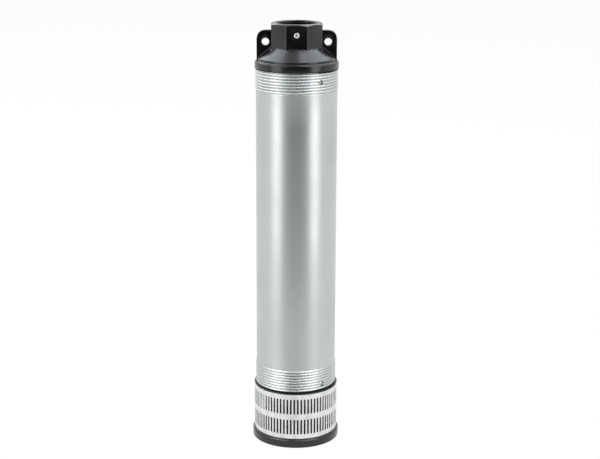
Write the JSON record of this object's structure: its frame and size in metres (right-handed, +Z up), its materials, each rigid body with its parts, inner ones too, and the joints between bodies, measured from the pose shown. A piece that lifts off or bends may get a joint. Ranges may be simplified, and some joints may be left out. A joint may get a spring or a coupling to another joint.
{
  "type": "borehole submersible pump",
  "caption": "Slim upright well pump: slotted bottom strainer, metal tube housing, black head with octagonal threaded port, rope ears and check valve.",
  "frame": {"origin": "centre of the base cap's underside, on the plane that the pump stands on", "axes": "+Z up along the shaft, -Y the front with the port screw, +-X the rope ears"},
  "size_m": [0.0982, 0.0982, 0.4743],
  "materials": {
    "black_plastic": "satin, glass-filled, moulded",
    "grey_plastic": "moulded",
    "impeller_resin": "moulded, natural colour",
    "satin_steel": "satin, drawn",
    "bright_steel": "bright, mill finish",
    "black_rubber": "moulded",
    "brass": "machined",
    "cast_aluminium": "as cast",
    "lamination_steel": "stacked sheet",
    "enamelled_copper": "varnished wire",
    "ceramic": "lapped",
    "carbon": "lapped",
    "white_polymer": "moulded"
  },
  "bodies": {
    "housing": {"base_cap": "black_plastic", "base_screw_1": "bright_steel", "base_screw_2": "bright_steel", "base_screw_3": "bright_steel", "strainer": "bright_steel", "suction_cover": "black_plastic", "suction_gasket": "black_rubber", "housing_tube": "satin_steel", "lower_lock_screw": "bright_steel", "upper_lock_screw": "bright_steel", "stage_casing_1": "grey_plastic", "stage_casing_2": "grey_plastic", "discharge_bowl": "grey_plastic", "pump_bush": "black_rubber", "seal_seat": "ceramic", "lower_bracket": "cast_aluminium", "lower_bearing": "bright_steel", "motor_shell": "bright_steel", "stator_core": "lamination_steel", "lower_winding": "enamelled_copper", "upper_winding": "enamelled_copper", "upper_bracket": "cast_aluminium", "upper_bearing": "bright_steel", "capacitor": "white_polymer", "motor_top_cover": "cast_aluminium", "clamp_spider": "grey_plastic", "head_gasket": "black_rubber", "outlet_head": "black_plastic", "port_screw": "bright_steel", "gland_nut": "black_plastic", "gland_grommet": "black_rubber", "valve_seat": "brass"},
    "rotor": {"rotor_shaft": "bright_steel", "rotor_core": "lamination_steel", "impeller_1": "impeller_resin", "impeller_2": "impeller_resin", "impeller_3": "impeller_resin", "impeller_washer": "bright_steel", "impeller_nut": "brass", "seal_spring": "bright_steel", "seal_face": "carbon"},
    "valve": {"valve_poppet": "white_polymer", "valve_seal": "black_rubber", "valve_spring": "bright_steel", "valve_clip": "bright_steel"}
  },
  "joints": [
    {"name": "rotor_spin", "type": "hinge", "parent": "housing", "child": "rotor", "pos_m": [0, 0, 0.25], "axis": [0, 0, 1], "continuous": true},
    {"name": "valve_lift", "type": "slide", "parent": "housing", "child": "valve", "axis": [0, 0, 1], "range_m": [0, 0.006], "stiffness_N_per_m": 120, "springref_m": -0.008, "deforming": ["valve_spring"]}
  ]
}
